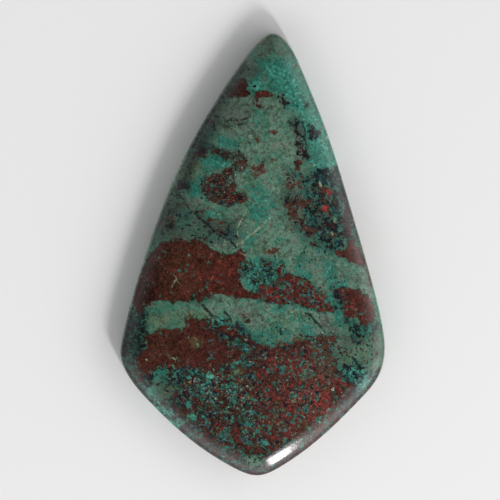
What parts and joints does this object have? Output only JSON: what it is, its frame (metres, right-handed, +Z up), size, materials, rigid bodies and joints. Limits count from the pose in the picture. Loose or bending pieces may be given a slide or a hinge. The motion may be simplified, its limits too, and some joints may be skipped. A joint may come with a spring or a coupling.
{
  "type": "sonora jasper cabochon",
  "caption": "Loose polished stone: a kite-shaped cabochon with a low domed face, bevelled shoulder, steep girdle and flat back to rest on or set.",
  "frame": {"origin": "in the plane of the flat back, under the middle of the outline", "axes": "+Z up out of the domed face, +Y along the stone towards its point, +X to the right when the domed face is seen with the point up"},
  "size_m": [0.0347, 0.058, 0.006],
  "materials": {
    "polished_jasper": "polished"
  },
  "bodies": {
    "root": {"jasper_cabochon": "polished_jasper"}
  },
  "joints": []
}
